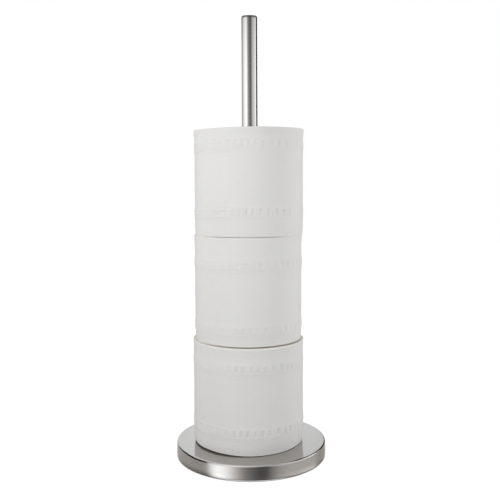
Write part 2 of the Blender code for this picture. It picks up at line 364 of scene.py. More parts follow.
def steel_finish(name, tone, roughness, anisotropy, line_height, straight=False):
    finish = Finish(name)
    x, y, z = finish.parts(finish.object_place())
    reach = from_axis(x, y)

    def lines(spacing, per_metre, per_radian):
        """Where to read the noise: its lumps are as wide as the spacing, and long along the brushing."""
        if straight:
            return finish.vector(x * per_metre, y / spacing, z)
        return finish.vector(x / reach * per_radian, y / reach * per_radian, (reach + z) / spacing)

    fine = finish.noise(lines(FINE_LINE, 40.0, 6.0), 1.0, 3.0, 0.6)
    broad = finish.noise(lines(BROAD_LINE, 12.0, 2.0), 1.0, 2.0)
    colour = finish.blend(broad + 0.5, tuple(value * DARKER_LINE for value in tone), tone)
    finish.coat(colour, roughness + fine * 0.08 + broad * 0.04, metallic=1.0)
    finish.bump(fine, line_height, 0.5)
    finish.shader.inputs["Anisotropic"].default_value = anisotropy
    finish.shader.inputs["Anisotropic Rotation"].default_value = ROUND_THE_AXIS
    print(name, "of roughness", roughness)
    return finish.material


band_steel = steel_finish("band_steel", STEEL, 0.20, 0.75, 4 * MICRON)
top_steel = steel_finish("top_steel", GROUND_STEEL, 0.20, 0.8, 4 * MICRON, straight=True)
edge_steel = steel_finish("edge_steel", STEEL, 0.07, 0.3, MICRON)
pole_steel = steel_finish("pole_steel", STEEL, 0.18, 0.6, 3 * MICRON)
plug_steel = steel_finish("plug_steel", STEEL, 0.13, 0.3, MICRON)

# %% [markdown]
# ## The base shell
#
# A disc of sheet steel is drawn into a shallow dish: a flat top, a rounded edge that is softer lower down,
# and a side band that leans out by a third of a millimetre and turns in as little at its foot. There it
# curls in and holds the plate below. The parts are closed, with the inner wall one sheet thickness in.
# They are three meshes that meet at the rounded edge, because the top is brushed straight, the band round,
# and the edge between them is left bright, so that it mirrors as a fine line.

# %% Base shell
SHEET = 0.8 * MM
SCREW_HOLE = 4.4 * MM
EDGE_ROUND = 1.2 * MM
SOFT_ROUND = 6.0 * MM
SOFT_START = 18.0
CURL_ROUND = 1.0 * MM
LIP_REACH = 3.5 * MM
BAND_LEAN = 0.35 * MM
BAND_BOW = 1.6
BAND_ROWS = 20
FOOT_SHARE = 0.45
FOOT_TURN_IN = 0.30 * MM
FAR_BEHIND = 20.0

# The band starts where its own slope meets the soft lower part of the edge
BAND_SLOPE = math.degrees(math.atan(BAND_BOW * BAND_LEAN / (BASE_TOP - BAND_FOOT - 2 * EDGE_ROUND)))
SOFT_OFFSET = on_circle((0.0, 0.0), EDGE_ROUND - SOFT_ROUND, SOFT_START)
SOFT_END = on_circle(SOFT_OFFSET, SOFT_ROUND, BAND_SLOPE)
EDGE_CENTRE = (BASE_RADIUS - BAND_LEAN - SOFT_END[0], BASE_TOP - EDGE_ROUND)
SOFT_CENTRE = (EDGE_CENTRE[0] + SOFT_OFFSET[0], EDGE_CENTRE[1] + SOFT_OFFSET[1])
BAND_TOP = EDGE_CENTRE[1] + SOFT_END[1]


def top_section():
    """The flat top from the screw hole to the rounded edge, as a plate one sheet thick."""
    reach = EDGE_CENTRE[0]
    low = BASE_TOP - SHEET
    upper = [(SCREW_HOLE, BASE_TOP), (reach / 2, BASE_TOP), (reach, BASE_TOP)]
    return upper + [(reach, low), (SCREW_HOLE, low)]


def edge_section():
    """The rounded edge with its softer lower part, outside and inside."""
    section = arc(EDGE_CENTRE, EDGE_ROUND, 90, SOFT_START, 14)
    section += arc(SOFT_CENTRE, SOFT_ROUND, SOFT_START, BAND_SLOPE, 8)[1:]
    section += arc(SOFT_CENTRE, SOFT_ROUND - SHEET, BAND_SLOPE, SOFT_START, 4)
    return section + arc(EDGE_CENTRE, EDGE_ROUND - SHEET, SOFT_START, 90, 6)[1:]


def band_rows(inset):
    """The band from top to curl: it leans out, then stands upright, and turns in a little at its foot."""
    foot = BAND_FOOT + CURL_ROUND
    points = []
    for row in range(BAND_ROWS):
        share = 1.0 - row / BAND_ROWS
        lean = BAND_LEAN * share**BAND_BOW
        lean += FOOT_TURN_IN * max(0.0, 1.0 - share / FOOT_SHARE) ** 2
        points.append((BASE_RADIUS - inset - lean, foot + (BAND_TOP - foot) * share))
    return points


def band_section():
    """The leaning band down to its lip, then back up the inside."""
    curl = (BASE_RADIUS - FOOT_TURN_IN - CURL_ROUND, BAND_FOOT + CURL_ROUND)
    lip_end = BASE_RADIUS - LIP_REACH
    outside = band_rows(0.0) + arc(curl, CURL_ROUND, 0, -90, 8)
    outside.append((lip_end, BAND_FOOT))
    inside = [(lip_end, BAND_FOOT + SHEET)]
    inside += arc(curl, CURL_ROUND - SHEET, -90, 0, 4)
    return outside + inside + band_rows(SHEET)[::-1]


base_top = lathe("base_top", top_section(), FINE_TURN, top_steel)
base_top.data.use_auto_texspace = False
base_top.data.texspace_location = (0.0, FAR_BEHIND, 0.0)
base_edge = lathe("base_edge", edge_section(), FINE_TURN, edge_steel, sharp=60)
base_band = lathe("base_band", band_section(), FINE_TURN, band_steel)
for shell in (base_top, base_edge, base_band):
    dress(shell, "stand", "satin_steel", "base_cover")

# %% [markdown]
# ## The pole and its plug
#
# The pole is a thin steel tube, closed at its top by a plug with a low crown and a rounded edge. The
# plug's rim is a hair wider than the pole and tapers a little upwards. The joint between them is drawn as
# a hairline.

# %% Pole and plug
TUBE_WALL = 0.9 * MM
TUBE_LIP = 0.25 * MM
PLUG_CROWN = 0.25 * MM
CROWN_FLATNESS = 5
CROWN_STEPS = 10
PLUG_ROUND = 0.6 * MM
PLUG_ARC = (75, 9)
PLUG_TAPER_HEIGHT = 1.15 * MM
PLUG_TAPER = 0.20 * MM
PLUG_OVER = 0.13 * MM
PLUG_SHANK = 9.0 * MM
PLUG_WALL = 1.2 * MM
HAIRLINE = 0.06 * MM


def tube_section():
    bore = POLE_RADIUS - TUBE_WALL
    section = [(bore, TUBE_TOP), (POLE_RADIUS - HAIRLINE, TUBE_TOP), (POLE_RADIUS, TUBE_TOP - HAIRLINE)]
    section += arc((POLE_RADIUS - TUBE_LIP, POLE_FOOT + TUBE_LIP), TUBE_LIP, 0, -90, 4)
    return section + [(bore, POLE_FOOT)]


def plug_section():
    corner_top = STAND_TOP - PLUG_CROWN - PLUG_ROUND
    widest = POLE_RADIUS + PLUG_OVER
    edge = widest - PLUG_TAPER - PLUG_ROUND
    shank = POLE_RADIUS - TUBE_WALL - GAP
    foot = TUBE_TOP + HAIRLINE
    section = []
    for step in range(CROWN_STEPS):
        share = step / CROWN_STEPS
        section.append((edge * share, STAND_TOP - PLUG_CROWN * share**CROWN_FLATNESS))
    section += arc((edge, corner_top), PLUG_ROUND, *PLUG_ARC, 10)
    section += [(widest, corner_top - PLUG_TAPER_HEIGHT), (widest, foot + HAIRLINE)]
    section += [(widest - HAIRLINE, foot), (shank, foot), (shank, foot - PLUG_SHANK)]
    inside = shank - PLUG_WALL
    return section + [(inside, foot - PLUG_SHANK), (inside, foot), (0.0, foot)]


pole_body = lathe("pole_body", tube_section(), SMALL_TURN, pole_steel)
dress(pole_body, "stand", "satin_steel", "pole_tube")
pole_plug = lathe("pole_plug", plug_section(), SMALL_TURN, plug_steel, closed=False)
dress(pole_plug, "stand", "satin_steel", "pole_cap")

# %% [markdown]
# ## The underside
#
# A black plastic plate closes the base, and a rubber ring stands on the floor. From in front, the ring and
# its shadow are the thin dark line under the band.

# %% Plastic, rubber and their pieces
PLATE_SKIN = PLATE_TOP - 2.0 * MM
PLATE_HOLE = 15.0 * MM
PLATE_ROUND = 0.3 * MM
RIB_WIDTH = 2.0 * MM
RING_WIDTH = 14.0 * MM
RING_ROUND = 0.4 * MM
RING_GROOVES = 3
GROOVE_DEPTH = 0.3 * MM
GROOVE_SHAPE = ((2.0, 0.0), (1.0, 1.0), (-1.0, 1.0), (-2.0, 0.0))
MOULD_GRAIN = 2500.0
MOULD_CLOUD = 60.0


def moulded_finish(name, colour, roughness, grain):
    finish = Finish(name)
    place = finish.object_place()
    speckle = finish.noise(place, MOULD_GRAIN, 3.0, 0.6)
    cloud = finish.noise(place, MOULD_CLOUD, 2.0)
    lighter = tuple(value * 1.6 + 0.004 for value in colour)
    finish.coat(finish.blend(cloud + 0.5, colour, lighter), roughness + speckle * 0.2)
    finish.bump(speckle, grain, 0.6)
    return finish.material


plate_plastic = moulded_finish("plate_plastic", (0.022, 0.022, 0.023), 0.5, 30 * MICRON)
foot_rubber = moulded_finish("foot_rubber", (0.016, 0.016, 0.016), 0.85, 50 * MICRON)


def plate_section():
    rib_out = RING_RADIUS - RING_WIDTH - GAP
    rib_in = rib_out - RIB_WIDTH
    small = PLATE_ROUND
    section = [(PLATE_HOLE, PLATE_TOP), (PLATE_RADIUS - small, PLATE_TOP)]
    section += [(PLATE_RADIUS, PLATE_TOP - small), (PLATE_RADIUS, PLATE_SKIN), (rib_out, PLATE_SKIN)]
    section += arc((rib_out - small, PLATE_LOW + small), small, 0, -90, 4)
    section += arc((rib_in + small, PLATE_LOW + small), small, -90, -180, 4)
    section += [(rib_in, PLATE_SKIN), (PLATE_HOLE + small, PLATE_SKIN), (PLATE_HOLE, PLATE_SKIN + small)]
    return section


def ring_section():
    """The rubber ring, with shallow grooves in its sole."""
    inner = RING_RADIUS - RING_WIDTH
    out = RING_RADIUS - RING_ROUND
    into = inner + RING_ROUND
    sole = []
    for number in range(RING_GROOVES):
        middle = out + (into - out) * (number + 1) / (RING_GROOVES + 1)
        sole += [(middle + r * GROOVE_DEPTH, z * GROOVE_DEPTH) for r, z in GROOVE_SHAPE]
    return rounded_section(inner, RING_RADIUS, 0.0, RING_TOP, RING_ROUND, 4, sole)


under_plate = lathe("under_plate", plate_section(), SMALL_TURN, plate_plastic)
dress(under_plate, "stand", "black_plastic", "base_plate")
foot_sole = lathe("foot_sole", ring_section(), SMALL_TURN, foot_rubber)
dress(foot_sole, "stand", "black_rubber", "foot_ring")

# %% [markdown]
# ## What is inside
#
# The iron disc, the screw, its washers and the insert keep their own solids: they are hidden, apart from
# the screw head in the hole of the plate. They still get real finishes, rough cast iron and bright zinc.

# %% Finishes of the inner pieces
ZINC_BLOOM = 300.0
IRON_PITS = 700.0
IRON_STAINS = 80.0
ZINC_COLOURS = ((0.50, 0.51, 0.54), (0.68, 0.68, 0.66))
IRON_COLOURS = ((0.10, 0.10, 0.105), (0.16, 0.11, 0.08))


def assign(node, finish):
    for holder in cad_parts[node].material_slots:
        holder.material = finish
    print(node, "is", finish.name)


def zinc_finish():
    finish = Finish("bright_zinc")
    bloom = finish.noise(finish.object_place(), ZINC_BLOOM, 4.0, 0.6)
    finish.coat(finish.blend(bloom + 0.5, *ZINC_COLOURS), 0.34 + bloom * 0.2, metallic=1.0)
    return finish.material


def iron_finish():
    finish = Finish("rough_iron")
    place = finish.object_place()
    pits = finish.noise(place, IRON_PITS, 5.0, 0.65)
    stain = finish.noise(place, IRON_STAINS, 3.0).rise(0.0, 0.3)
    finish.coat(finish.blend(stain, *IRON_COLOURS), 0.75 + pits * 0.3, metallic=0.8)
    finish.bump(pits, 0.2 * MM, 0.7)
    return finish.material


bright_zinc = zinc_finish()
rough_iron = iron_finish()
for node_name in ("pole_screw", "spring_washer", "flat_washer", "pole_insert"):
    assign(node_name, bright_zinc)
assign("base_weight", rough_iron)

# %% [markdown]
# ## Tissue
#
# Tissue is matt and nearly white. Close up it has fibres and faint crumples. On a roll's end each turn of
# the paper shows as a fine line, and the lines form a spiral: the radius less a ply for each turn. The
# mesh stores three values for each point: its own place in the roll, which gives that radius, how creased
# the sheet is there, and a painted shade that greys the pressed dashes, in place of their relief's shade.

# %% Tissue finish
TISSUE_COLOUR = (0.81, 0.805, 0.79)
TISSUE_SHADE = (0.77, 0.763, 0.745)
CUT_COLOUR = (0.75, 0.72, 0.66)
# The colour of the painted shade on the dashes
PAINTED_DASH_SHADE_COLOUR = (0.65, 0.642, 0.63)
PLY = 0.5 * MM
END_FACING = (0.6, 0.9)
FIBRES = 1400.0
CRUMPLES = 170.0
PAPER_CLOUD = 45.0
FOLDS = 38.0
FOLD_FLATNESS = 14.0
LINE_UNEVENNESS = 90.0
FIBRE_HEIGHT = 0.06 * MM
CRUMPLE_HEIGHT = 0.26 * MM
FOLD_HEIGHT = 0.6 * MM
LINE_DEPTH = 0.2 * MM


def tissue_finish():
    finish = Finish("tissue")
    place = finish.object_place()
    x, y, z = finish.parts(finish.stored("own_place")["Vector"])
    reach = from_axis(x, y)
    turn = y.math("ARCTAN2", x) / (2 * math.pi)
    facing = finish.node("ShaderNodeNewGeometry")["Normal"]
    level = finish.parts(facing)[2].math("ABSOLUTE").rise(*END_FACING)
    spiral = (reach / PLY + turn).math("FRACT")
    layer = (spiral - 0.5).math("ABSOLUTE") * 2.0
    uneven = finish.noise(finish.vector(x, y, reach * 12.0), LINE_UNEVENNESS, 2.0)
    lines = layer * level * (uneven + 0.6)
    fibres = finish.noise(place, FIBRES, 5.0, 0.7)
    crumple = finish.noise(place, CRUMPLES, 3.0, 0.55)
    folds = finish.noise(finish.vector(x, y, z * FOLD_FLATNESS), FOLDS, 4.0, 0.6)
    folds = folds * finish.stored("creased")["Fac"]
    cloud = finish.noise(place, PAPER_CLOUD, 3.0)
    shade = (cloud * 0.5 + fibres * 0.5 + 0.35 + lines * 0.6).rise(0.0, 1.0)
    sheet_colour = finish.blend(shade, TISSUE_COLOUR, TISSUE_SHADE)
    # Painted shade: the stored value greys the dashes
    sheet_colour = finish.blend(finish.stored("pressed")["Fac"], sheet_colour, PAINTED_DASH_SHADE_COLOUR)
    finish.coat(finish.blend(level, sheet_colour, CUT_COLOUR), 0.92 + fibres * 0.1)
    finish.shader.inputs["Specular IOR Level"].default_value = 0.2
    relief = fibres * FIBRE_HEIGHT + crumple * CRUMPLE_HEIGHT + folds * FOLD_HEIGHT - lines * LINE_DEPTH
    finish.bump(relief, 1.0, 0.8)
    return finish.material


tissue = tissue_finish()
print("tissue:", len(tissue.node_tree.nodes), "nodes")

# %% [markdown]
# ## The paper rolls
#
# A roll is a ring turned from a half section, and then changed by rules, so a Geometry Nodes tree does it.
# The tree reads each point's height and direction from the axis and moves the point: out at the two
# embossed bands, in at each pressed dash, and in by one ply over a full turn, as wound paper is. The
# section is dense only where the dashes need it.

# %% Section of a roll
ROLL_TURN = 560
END_ROWS = 26
BORE_ROWS = 8
FOOT_ROUND = 0.35 * MM
BAND_SWELL = 0.45 * MM
DASH_HEIGHT = 6.6 * MM
DASH_MARGIN = 2.0 * MM
APPROACH = 4.0 * MM
BAND_ROW = 0.55 * MM
APPROACH_ROW = 1.2 * MM
PLAIN_ROW = 2.0 * MM


def side_rows(height, top_round, bands):
    """Heights down the side: close rows where the dashes are, wide ones between them."""
    reach = DASH_HEIGHT / 2 + DASH_MARGIN
    rows = []
    level = height - top_round
    while level > FOOT_ROUND:
        rows.append(level)
        if any(abs(level - band) < reach for band in bands):
            level -= BAND_ROW
        elif any(0 < level - band - reach < APPROACH for band in bands):
            level -= APPROACH_ROW
        else:
            level -= PLAIN_ROW
    return rows[1:]


def roll_section(radius, bore, height, top_round, bands):
    edge = radius - top_round
    foot_edge = radius - FOOT_ROUND
    section = [(bore + (edge - bore) * step / END_ROWS, height) for step in range(END_ROWS)]
    section += arc((edge, height - top_round), top_round, 90, 0, 6)
    section += [(radius, level) for level in side_rows(height, top_round, bands)]
    section += arc((foot_edge, FOOT_ROUND), FOOT_ROUND, 0, -90, 5)
    section += [(bore + (foot_edge - bore) * step / END_ROWS, 0.0) for step in reversed(range(END_ROWS))]
    return section + [(bore, height * step / BORE_ROWS) for step in range(1, BORE_ROWS)]


# %% [markdown]
# Each rule is a function of the point that it moves. The dashes are pressed harder on one side of a roll,
# and on that side they also get a painted shade.
# The rims flare or tuck in and have dents, and the ends lift and tilt a little, so that the dark line
# between two rolls differs in width along its way. Slow noise makes the sheet uneven.

# %% The measures of a point
# Where each rule acts: shares of the way out or up, or a half width and its soft edge
SIDE_FROM = (0.93, 0.99)
TOP_ZONE = (0.93, 1.0)
FOOT_ZONE = (0.0, 0.08)
DENT_ZONE = (0.0, 0.15)
CURL_ZONE = (-0.01, 0.07)
SWELL_WIDTH = (4.8 * MM, 3.5 * MM)
CREASED_WIDTH = (9.0 * MM, 7.0 * MM)
DASH_WIDTH = (0.17, 0.13)
DASH_ENDS = (0.7, 1.15)
# The side of a roll where the dashes are pressed harder and get a painted shade
PRESS_AND_SHADE_WIDTH = (0.75, 0.35)
CREASE_WIDTH = (0.75, 0.4)
DENT_WIDTH = (0.6, 0.5)
LEFT_DENT_WIDTH = (0.35, 0.3)
LEFTWARD = (-0.1, 0.75)
# Noises: lumps to a unit, detail and roughness
DASH_WOBBLE = (2.3, 1.0)
DASH_STRENGTH = (8.0, 1.0)
DASH_SLIP = (11.0, 1.0)
LUMPS = (28.0, 2.0)
FINE_CREASES = (110.0, 2.0, 0.6)
RIM_WAVE = (1.6, 2.0)
PATCHES = (1.9, 2.0)
LOOSE_TURNS = (40.0, 3.0, 0.6)
SEED_SHIFT = 7.3
BAND_SHIFT = 40.0
LOWER_PHASE = 0.4


class Spot:
    """A point of the roll. Each measure of where it lies is a wire, and so is each of the tree's inputs."""

    def __init__(self, board):
        self.board = board
        self.inputs = board.node("NodeGroupInput")
        self.x, self.y, self.z = board.parts(board.node("GeometryNodeInputPosition")[0])
        self.reach = from_axis(self.x, self.y)
        column = (self.y.math("ARCTAN2", self.x) / (2 * math.pi) * ROLL_TURN).math("ROUND")
        self.turn = (column / ROLL_TURN + 1.0).math("FRACT")
        self.angle = (self.turn + self["Tail Direction"]) * (2 * math.pi)
        self.cosine = self.angle.math("COSINE")
        self.sine = self.angle.math("SINE")
        self.outward = (self.reach - self["Bore"]) / (self["Radius"] - self["Bore"])
        self.side = self.outward.rise(*SIDE_FROM)
        self.share = self.z / self["Height"]
        self.near_top = self.share.rise(*TOP_ZONE)
        self.near_foot = 1.0 - self.share.rise(*FOOT_ZONE)
        self.shift = self["Seed"] * SEED_SHIFT

    def __getitem__(self, label):
        return self.inputs[label]

    def noise(self, x, y, z, *look):
        return self.board.noise(self.board.vector(x, y, z), *look)

    def noise_around(self, height, *look):
        """Noise that varies round the roll and not up it."""
        return self.noise(self.x / self["Radius"] + self.shift, self.y / self["Radius"], height, *look)

    def near(self, level, width):
        return (self.z - level).pulse(*width)

    def towards(self, direction, width):
        """1 on the side of the roll that lies in a direction, falling to 0 over a soft edge."""
        return (self.angle - direction).math("WRAP", math.pi, -math.pi).pulse(*width)


# %% Bands, rims, creases and ends
def dashes(spot, level, phase):
    """Where a band is pressed in: up to 1 at its dashes, 0 between them."""
    wobble = spot.noise_around(0.0, *DASH_WOBBLE) * 1.1
    beat = (spot.turn * spot["Dash Count"] + wobble + phase).math("FRACT") - 0.5
    strength = spot.noise_around(level * BAND_SHIFT, *DASH_STRENGTH) * 1.5 + 0.95
    slip = spot.noise_around(level * BAND_SHIFT, *DASH_SLIP) * (3.0 * MM)
    from_middle = (spot.z - level - slip).math("ABSOLUTE") / spot["Dash Height"] * 2.0
    return beat.pulse(*DASH_WIDTH) * (1.0 - from_middle.rise(*DASH_ENDS)) * strength


def embossing(spot):
    """How far the sheet stands out or is pressed in at the bands, and the painted shade on the dashes."""
    upper, lower = spot["Upper Band"], spot["Lower Band"]
    press_and_shade_weight = spot.towards(spot["Press Direction"], PRESS_AND_SHADE_WIDTH) * 0.5 + 0.5
    pressed = (dashes(spot, upper, 0.0) + dashes(spot, lower, LOWER_PHASE)) * press_and_shade_weight
    swollen = (spot.near(upper, SWELL_WIDTH) + spot.near(lower, SWELL_WIDTH)) * spot["Swell"]
    # Painted shade on the dashes, strongest on the pressed side, in place of the shade of their relief
    shade = pressed * (press_and_shade_weight * 2.0 - 1.0) * spot["Dash Shade"] * spot.side
    return swollen - pressed * spot["Dash Depth"], shade


def unevenness(spot):
    lumps = spot.noise(spot.x + spot.shift, spot.y, spot.z * 0.6, *LUMPS)
    creases = spot.noise(spot.x + spot.shift, spot.y, spot.z * 0.25, *FINE_CREASES)
    return (lumps * 1.2 + creases * 0.35) * spot["Unevenness"]


def rims(spot):
    """How far the two rims stand out: the top flares, the foot is tucked in, curled and dented."""
    flare = spot.near_top * spot["Top Flare"] * (spot.noise_around(0.0, *RIM_WAVE) * 1.6 + 0.8)
    left_direction = spot["Dent Direction"] * -1.0 - math.pi
    dent = spot.towards(spot["Dent Direction"], DENT_WIDTH) * spot["Dent"]
    dent = dent + spot.towards(left_direction, LEFT_DENT_WIDTH) * spot["Left Dent"]
    tuck = spot.near_foot * spot["Foot Tuck"] * (spot.cosine * spot.cosine)
    curl = (1.0 - spot.share.rise(*CURL_ZONE)) * spot["Foot Curl"]
    return flare - (tuck + (1.0 - spot.share.rise(*DENT_ZONE)) * dent + curl)


def creasing(spot):
    """How creased the sheet is: most at the bands and the foot, in patches and on one side."""
    patches = (spot.noise_around(0.0, *PATCHES) + 0.5).rise(0.35, 0.7)
    patches = patches + spot.towards(spot["Crease Direction"], CREASE_WIDTH) * spot["Creasing"]
    bands = spot.near(spot["Upper Band"], CREASED_WIDTH) + spot.near(spot["Lower Band"], CREASED_WIDTH)
    return (bands + spot.near_foot) * patches + 0.12


def lifting(spot):
    """How far a point moves up: loose turns at the ends, lifted rims, and ends that reach and tilt."""
    loose = spot.noise(spot.reach * 9.0, spot["Seed"], spot.turn * 0.4, *LOOSE_TURNS)
    loose = (spot.share * 2.0 - 1.0) * loose * (0.6 * MM) * (1.0 - spot.side)
    sideways = spot.cosine * spot.cosine
    side_lift = spot.near_top * spot["Side Lift"] * sideways * sideways * spot.outward.rise(0.3, 1.0)
    leftward = (spot.cosine * -1.0).rise(*LEFTWARD)
    foot_lift = spot.near_foot * spot["Foot Lift"] * leftward * spot.outward.rise(0.5, 1.0)
    sloped = spot.reach / spot["Radius"] * spot.cosine
    top_move = spot["Top Reach"] + spot["Top Tilt"] * sloped
    foot_move = spot["Foot Tilt"] * sloped - spot["Foot Reach"]
    ends_move = spot.share * top_move + (1.0 - spot.share) * foot_move
    return loose + ends_move + side_lift + foot_lift


# %% [markdown]
# One tree serves all three rolls. They differ in the values that it is given.

# %% What the rolls are given
DASH_COUNT = 47.0
DENT_DIRECTION = -54
CREASE_DIRECTION = -135
UNEVENNESS = 0.7 * MM

# What differs between the lower, middle and upper roll: in millimetres, in degrees from +X, and as factors
TOP_ROUNDS = (1.3, 0.5, 0.6)
TAIL_DIRECTIONS = (62, 118, 84)
# The side where the dashes are pressed harder and get a painted shade
PRESS_AND_SHADE_DIRECTIONS = (-72, -70, -80)
ROLL_LENGTHS = {
    "Upper Band": (81.8, 76.1, 87.0),
    "Lower Band": (21.2, 14.9, 23.1),
    "Dash Depth": (0.50, 0.38, 0.42),
    "Top Flare": (0.6, 0.2, 0.9),
    "Foot Tuck": (0.1, 0.7, 0.5),
    "Foot Curl": (0.80, 0.0, 0.0),
    "Side Lift": (1.3, 1.3, 2.2),
    "Foot Lift": (1.05, 0.27, 0.22),
    "Top Reach": (0.0, 0.54, -0.75),
    "Foot Reach": (0.0, -0.7, -0.5),
    "Top Tilt": (-0.35, -0.05, 0.5),
    "Foot Tilt": (0.0, 0.25, 0.05),
    "Dent": (1.25, 0.2, 0.3),
    "Left Dent": (0.45, 0.0, 0.0),
}
ROLL_FACTORS = {
    # How dark the painted shade on the dashes is
    "Dash Shade": (0.33, 0.10, 0.20),
    "Creasing": (0.5, 0.15, 1.3),
    "Seed": (3.0, 1.0, 2.0),
}


def roll_inputs(number):
    """The tree's named inputs for one roll, counted from the lowest."""
    axis, radius, core_radius, low, height = roll_measures(ROLL_NAMES[number])
    values = {label: lengths[number] * MM for label, lengths in ROLL_LENGTHS.items()}
    values |= {label: factors[number] for label, factors in ROLL_FACTORS.items()}
    return values | {
        "Radius": radius - BAND_SWELL,
        "Bore": core_radius + GAP,
        "Height": height,
        "Swell": BAND_SWELL,
        "Dash Count": DASH_COUNT,
        "Dash Height": DASH_HEIGHT,
        "Tail Direction": TAIL_DIRECTIONS[number] / 360,
        "Press Direction": math.radians(PRESS_AND_SHADE_DIRECTIONS[number]),
        "Crease Direction": math.radians(CREASE_DIRECTION),
        "Dent Direction": math.radians(DENT_DIRECTION),
        "Ply": PLY,
        "Unevenness": UNEVENNESS,
        "Place": (axis, 0.0, low),
        "Finish": tissue,
    }


# %% [markdown]
# The tree joins the rules, stores what the tissue's shader needs, and sets place and material. Its inputs
# are named, set through their sockets' identifiers, and the finished mesh is kept without the modifiers.

# %% The winding tree
def add_sockets(tree, labels):
    """Geometry in and out, and the named inputs: numbers, but for the roll's place and its finish."""
    kinds = {"Geometry": "Geometry", "Place": "Vector", "Finish": "Material"}
    for label in ("Geometry", *labels):
        kind = "NodeSocket" + kinds.get(label, "Float")
        tree.interface.new_socket(label, in_out="INPUT", socket_type=kind)
    tree.interface.new_socket("Geometry", in_out="OUTPUT", socket_type="NodeSocketGeometry")


def winding_tree():
    tree = bpy.data.node_groups.new("wound_paper", "GeometryNodeTree")
    add_sockets(tree, roll_inputs(0))
    board = Board(tree)
    spot = Spot(board)
    bands, shade = embossing(spot)
    reach = spot.reach + spot.side * (bands + unevenness(spot)) + spot.outward * rims(spot) * spot.side
    reach = reach - spot["Ply"] * spot.turn * spot.outward
    moved = board.vector(reach * spot.cosine, reach * spot.sine, spot.z + lifting(spot))
    own_place = board.vector(spot.reach * spot.cosine, spot.reach * spot.sine, spot.z)
    paper = spot["Geometry"]
    kept = (
        ("own_place", "FLOAT_VECTOR", own_place),
        ("creased", "FLOAT", creasing(spot)),
        # The painted shade of the dashes, for the tissue's colour
        ("pressed", "FLOAT", shade),
    )
    for name, kind, value in kept:
        values = {"Geometry": paper, "Name": name, "Value": value}
        paper = board.node("GeometryNodeStoreNamedAttribute", values, data_type=kind)[0]
    placed = board.node("ShaderNodeVectorMath", [moved, spot["Place"]], operation="ADD")[0]
    paper = board.node("GeometryNodeSetPosition", {"Geometry": paper, "Position": placed})[0]
    paper = board.node("GeometryNodeRealizeInstances", {"Geometry": paper})[0]
    finished = {"Geometry": paper, "Material": spot["Finish"]}
    board.node("NodeGroupOutput", [board.node("GeometryNodeSetMaterial", finished)[0]])
    return tree


wound_paper = winding_tree()
print("winding tree:", len(wound_paper.nodes), "nodes")

# %% Make the three rolls
def paper_roll(number):
    name = ROLL_NAMES[number]
    values = roll_inputs(number)
    sizes = [values[label] for label in ("Radius", "Bore", "Height")]
    bands = (values["Upper Band"], values["Lower Band"])
    paper = profile_object(name + "_tissue", roll_section(*sizes, TOP_ROUNDS[number] * MM, bands))
    add_turn(paper, ROLL_TURN)
    wind = paper.modifiers.new("Wind", "NODES")
    wind.node_group = wound_paper
    for item in wound_paper.interface.items_tree:
        if item.in_out == "INPUT" and item.name in values:
            wind[item.identifier] = values[item.name]
    plain_mesh(paper, paper.name)
    paper.data.shade_smooth()
    dress(paper, name, "tissue", name + "_paper")
    print(paper.name, len(paper.data.polygons), "faces")


for roll_number in range(len(ROLL_NAMES)):
    paper_roll(roll_number)

# %% [markdown]
# ## The core tubes
#
# A core is a strip of grey board wound at a slant and glued, so a shallow seam climbs round it. The seam is
# worked out from height and direction, as the thread of a screw would be.

# %% Core finish and tubes
CORE_WALL = 0.9 * MM
CORE_ROUND = 0.25 * MM
SEAM_CLIMB = 62.0 * MM
SEAM_WIDTH = (0.012, 0.008)
PULP = 900.0
BOARD_CLOUD = 120.0
BOARD_COLOURS = ((0.36, 0.29, 0.21), (0.52, 0.44, 0.34))
SEAM_COLOUR = (0.25, 0.20, 0.15)


def board_finish(axis):
    finish = Finish("core_board")
    place = finish.object_place()
    x, y, z = finish.parts(place)
    turn = y.math("ARCTAN2", x - axis) / (2 * math.pi)
    seam = ((z / SEAM_CLIMB + turn).math("FRACT") - 0.5).pulse(*SEAM_WIDTH)
    pulp = finish.noise(place, PULP, 5.0, 0.7)
    cloud = finish.noise(place, BOARD_CLOUD, 3.0)
    colour = finish.blend(pulp * 0.8 + cloud + 0.5, *BOARD_COLOURS)
    finish.coat(finish.blend(seam, colour, SEAM_COLOUR), 0.88 + pulp * 0.1)
    finish.bump(pulp * (0.08 * MM) - seam * (0.25 * MM), 1.0, 0.8)
    return finish.material


def core_tube(name):
    axis, _, core_radius, _, _ = roll_measures(name)
    low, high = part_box(name + "_core")
    section = rounded_section(core_radius - CORE_WALL, core_radius, low[2], high[2], CORE_ROUND, 3)
    tube = lathe(name + "_tube", section, SMALL_TURN, board_finish(axis))
    tube.data.transform(Matrix.Translation((axis, 0.0, 0.0)))
    dress(tube, name, "core_board", name + "_core")


for roll_name in ROLL_NAMES:
    core_tube(roll_name)

# %% [markdown]
# ## The studio
#
# Paper needs soft, even light, which three lamps and the world give. Metal needs something to mirror: that
# comes next.

# %% World and lamps
WORLD_LEVEL = 0.26
WHITE = (1.0, 1.0, 1.0)
BLACK = (0.0, 0.0, 0.0)
OBJECT_MIDDLE = (0.0, 0.0, 0.2)
LAMPS = (
    ("left_box", (-0.52, -0.43, 0.48), 0.3, 3.2),
    ("right_box", (0.50, -0.45, 0.34), 0.3, 1.58),
    ("right_side_box", (0.60, 0.05, 0.32), 0.4, 0.92),
)


